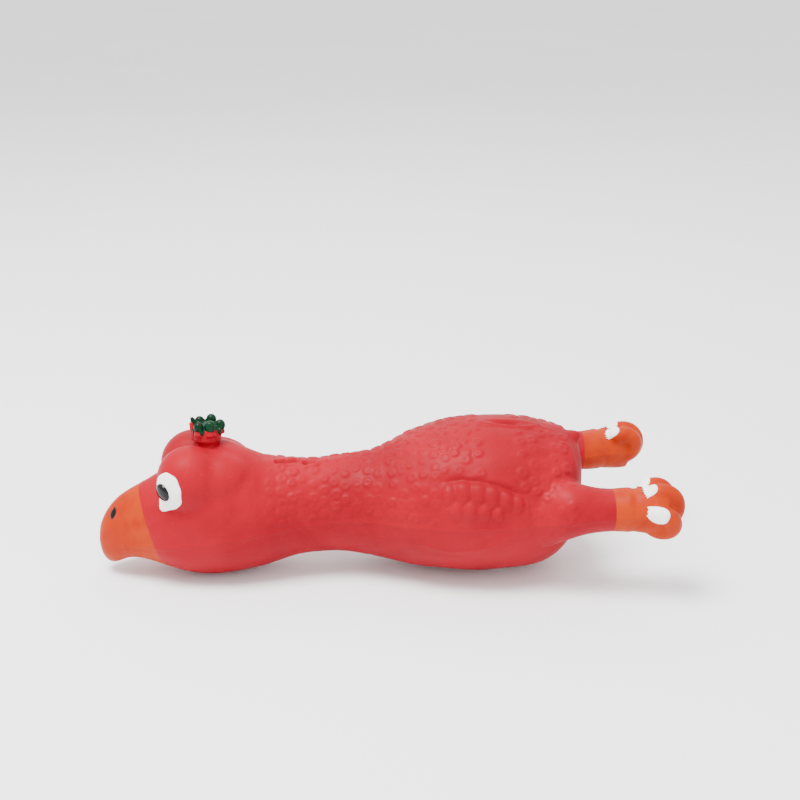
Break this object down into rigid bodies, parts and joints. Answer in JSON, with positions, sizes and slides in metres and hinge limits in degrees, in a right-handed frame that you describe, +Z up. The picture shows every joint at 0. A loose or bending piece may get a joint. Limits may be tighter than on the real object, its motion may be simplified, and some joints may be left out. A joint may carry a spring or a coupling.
{
  "type": "rubber chicken",
  "caption": "Hollow latex squeaky bird lying on its belly, with a flexing neck, head, legs and feet, painted beak, eyes and crest, and a reed squeaker in the belly.",
  "frame": {"origin": "centre of the toy's bounding box, on the table that the belly and the throat rest on", "axes": "+X from the beak towards the feet, +Y towards the bird's right side, +Z up"},
  "size_m": [0.1701, 0.0666, 0.049],
  "materials": {
    "latex_pink": "satin natural latex, lightly translucent at thin edges",
    "paint_orange": "satin orange latex paint",
    "paint_green": "glossy dark green latex paint",
    "paint_white": "satin white latex paint",
    "paint_black": "glossy black latex paint",
    "squeaker_plastic": "moulded off-white plastic",
    "reed_film": "thin springy plastic strip"
  },
  "bodies": {
    "torso": {"torso_skin": "latex_pink", "squeaker_housing": "squeaker_plastic", "reed_table": "squeaker_plastic", "reed_clamp": "squeaker_plastic", "reed_root": "reed_film"},
    "neck": {"neck_skin": "latex_pink"},
    "head": {"head_skin": "latex_pink", "beak": "paint_orange", "crest_post": "latex_pink", "crest_tips": "paint_green", "eye_white_left": "paint_white", "eye_white_right": "paint_white", "pupil_left": "paint_black", "pupil_right": "paint_black", "nostril_left": "paint_black", "nostril_right": "paint_black"},
    "leg_left": {"leg_skin_left": "latex_pink", "ankle_left": "paint_orange"},
    "leg_right": {"leg_skin_right": "latex_pink", "ankle_right": "paint_orange"},
    "foot_left": {"foot_left": "paint_orange", "nails_left": "paint_white"},
    "foot_right": {"foot_right": "paint_orange", "nails_right": "paint_white"},
    "reed": {"reed": "reed_film"}
  },
  "joints": [
    {"name": "neck_sway", "type": "hinge", "parent": "torso", "child": "neck", "pos_m": [-0.0111, 0, 0.02041], "axis": [0, 0, 1], "range_deg": [-30, 30], "stiffness_Nm_per_rad": 0.35},
    {"name": "head_nod", "type": "hinge", "parent": "neck", "child": "head", "pos_m": [-0.027, 0, 0.01955], "axis": [0, 1, 0], "range_deg": [-25, 25], "stiffness_Nm_per_rad": 0.35},
    {"name": "leg_splay_left", "type": "hinge", "parent": "torso", "child": "leg_left", "pos_m": [0.0535, -0.0205, 0.02553], "axis": [0, 0, 1], "range_deg": [-18, 12], "stiffness_Nm_per_rad": 0.08},
    {"name": "leg_splay_right", "type": "hinge", "parent": "torso", "child": "leg_right", "pos_m": [0.0535, 0.0205, 0.02553], "axis": [0, 0, 1], "range_deg": [-12, 18], "stiffness_Nm_per_rad": 0.08},
    {"name": "foot_flex_left", "type": "hinge", "parent": "leg_left", "child": "foot_left", "pos_m": [0.0665, -0.0231, 0.02645], "axis": [0, 1, 0], "range_deg": [-25, 25], "stiffness_Nm_per_rad": 0.05},
    {"name": "foot_flex_right", "type": "hinge", "parent": "leg_right", "child": "foot_right", "pos_m": [0.0665, 0.0231, 0.02645], "axis": [0, 1, 0], "range_deg": [-25, 25], "stiffness_Nm_per_rad": 0.05},
    {"name": "reed_beat", "type": "hinge", "parent": "torso", "child": "reed", "pos_m": [0.03436, 0, 0.0109], "axis": [0, 1, 0], "range_deg": [-2, 5], "stiffness_Nm_per_rad": 0.00002}
  ]
}
